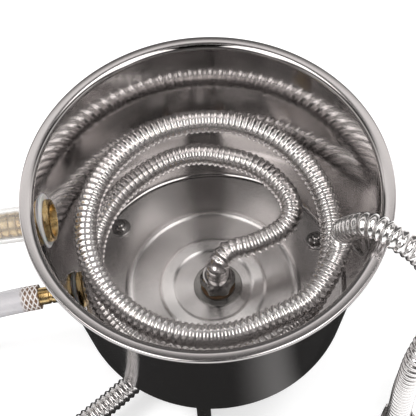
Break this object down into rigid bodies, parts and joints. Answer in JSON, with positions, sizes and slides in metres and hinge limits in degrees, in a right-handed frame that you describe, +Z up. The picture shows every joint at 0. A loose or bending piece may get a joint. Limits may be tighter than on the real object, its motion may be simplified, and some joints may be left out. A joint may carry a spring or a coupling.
{
  "type": "coil condenser cooling pot",
  "caption": "Tapered steel cooling pot on short legs round a corrugated steel condenser coil, with barbed water fittings and hoses in its wall and an outlet spout under its floor.",
  "frame": {"origin": "on the ground, in the middle of the circle of the legs, under the axis of the pot", "axes": "+Z up along the axis of the pot; the water fittings and hoses lie towards -X; the camera of the picture stands towards -Y and looks down"},
  "size_m": [0.786, 0.268, 0.2208],
  "materials": {
    "pot_steel": "stainless sheet, floor brushed in rings, walls half polished",
    "tube_steel": "bright corrugated stainless tube",
    "fitting_steel": "bright machined stainless steel",
    "leg_steel": "turned bar",
    "dark_washer": "dull dark grey",
    "brass": "machined, slightly dulled",
    "milky_silicone": "satin, slightly see-through",
    "amber_silicone": "satin",
    "clear_hose": "clear hose with a thin braid",
    "braided_hose": "clear hose with a close braid"
  },
  "bodies": {
    "pot": {"pot_shell": "pot_steel", "coil_tube": "tube_steel", "outlet_tube": "tube_steel", "floor_nipple": "fitting_steel", "floor_washer": "dark_washer", "floor_seal_upper": "amber_silicone", "floor_seal_lower": "milky_silicone", "floor_locknut": "fitting_steel", "outlet_elbow": "fitting_steel", "leg_pillars": "leg_steel", "leg_studs": "fitting_steel", "leg_nuts": "fitting_steel", "leg_washers": "fitting_steel", "leg_seals_upper": "milky_silicone", "leg_seals_lower": "milky_silicone", "coil_outlet_nut": "fitting_steel", "coil_outlet_clip_ring": "fitting_steel", "coil_outlet_gasket": "milky_silicone", "elbow_nut": "fitting_steel", "elbow_clip_ring": "fitting_steel", "elbow_gasket": "milky_silicone", "spout_clip_ring": "fitting_steel", "spout_gasket": "milky_silicone", "vapour_clip_ring": "fitting_steel", "vapour_gasket": "milky_silicone", "hot_barb": "brass", "hot_locknut": "brass", "hot_gasket_inner": "milky_silicone", "hot_gasket_outer": "milky_silicone", "hot_hose": "clear_hose", "cold_barb": "brass", "cold_locknut": "brass", "cold_gasket_inner": "milky_silicone", "cold_gasket_outer": "milky_silicone", "cold_hose": "braided_hose"},
    "vapour_nut": {"vapour_nut": "fitting_steel"},
    "spout_nut": {"spout_nut": "fitting_steel"}
  },
  "joints": [
    {"name": "vapour_nut_spin", "type": "hinge", "parent": "pot", "child": "vapour_nut", "pos_m": [0.13399, -0.11006, 0.0155], "axis": [0, 0, 1], "continuous": true},
    {"name": "spout_nut_spin", "type": "hinge", "parent": "pot", "child": "spout_nut", "pos_m": [-0.14424, -0.12629, 0.02], "axis": [-0.7902, -0.6129, 0], "continuous": true}
  ]
}
